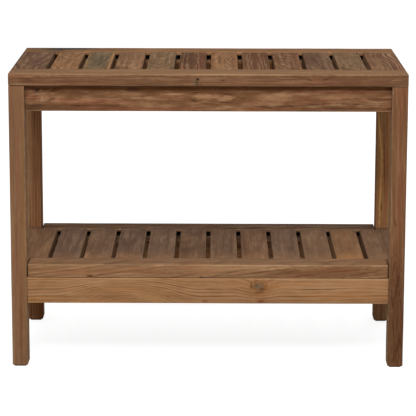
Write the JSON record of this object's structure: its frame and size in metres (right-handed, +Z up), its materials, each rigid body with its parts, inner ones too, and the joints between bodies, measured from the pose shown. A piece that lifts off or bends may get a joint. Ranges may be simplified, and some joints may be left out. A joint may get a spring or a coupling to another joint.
{
  "type": "bathroom side table",
  "caption": "Free-standing wooden side table for a bathroom: a long slatted top and a slatted lower shelf joined by aprons to straight square legs.",
  "frame": {"origin": "on the floor, under the middle of the table's top", "axes": "+X along the length, to the right seen from the front; +Y from the front to the rear; +Z up"},
  "size_m": [0.6, 0.3, 0.455],
  "materials": {
    "top_teak": "matte, unpolished",
    "shelf_teak": "matte, unpolished",
    "leg_teak": "matte, unpolished",
    "apron_teak": "matte, unpolished",
    "dowel_wood": "matte",
    "screw_steel": "zinc plated"
  },
  "bodies": {
    "root": {"leg_front_left": "leg_teak", "leg_front_right": "leg_teak", "leg_rear_left": "leg_teak", "leg_rear_right": "leg_teak", "apron_upper_front": "apron_teak", "apron_upper_rear": "apron_teak", "apron_upper_left": "apron_teak", "apron_upper_right": "apron_teak", "apron_lower_front": "apron_teak", "apron_lower_rear": "apron_teak", "apron_lower_left": "apron_teak", "apron_lower_right": "apron_teak", "top_rail_front": "top_teak", "top_rail_rear": "top_teak", "top_end_board_left": "top_teak", "top_end_board_right": "top_teak", "top_slat_01": "top_teak", "top_slat_02": "top_teak", "top_slat_03": "top_teak", "top_slat_04": "top_teak", "top_slat_05": "top_teak", "top_slat_06": "top_teak", "top_slat_07": "top_teak", "top_slat_08": "top_teak", "top_slat_09": "top_teak", "top_slat_10": "top_teak", "shelf_rail_front": "shelf_teak", "shelf_rail_rear": "shelf_teak", "shelf_end_board_left": "shelf_teak", "shelf_end_board_right": "shelf_teak", "shelf_slat_01": "shelf_teak", "shelf_slat_02": "shelf_teak", "shelf_slat_03": "shelf_teak", "shelf_slat_04": "shelf_teak", "shelf_slat_05": "shelf_teak", "shelf_slat_06": "shelf_teak", "shelf_slat_07": "shelf_teak", "shelf_slat_08": "shelf_teak", "shelf_slat_09": "shelf_teak", "shelf_slat_10": "shelf_teak", "leg_dowels": "dowel_wood", "top_screws": "screw_steel", "shelf_screws": "screw_steel"}
  },
  "joints": []
}
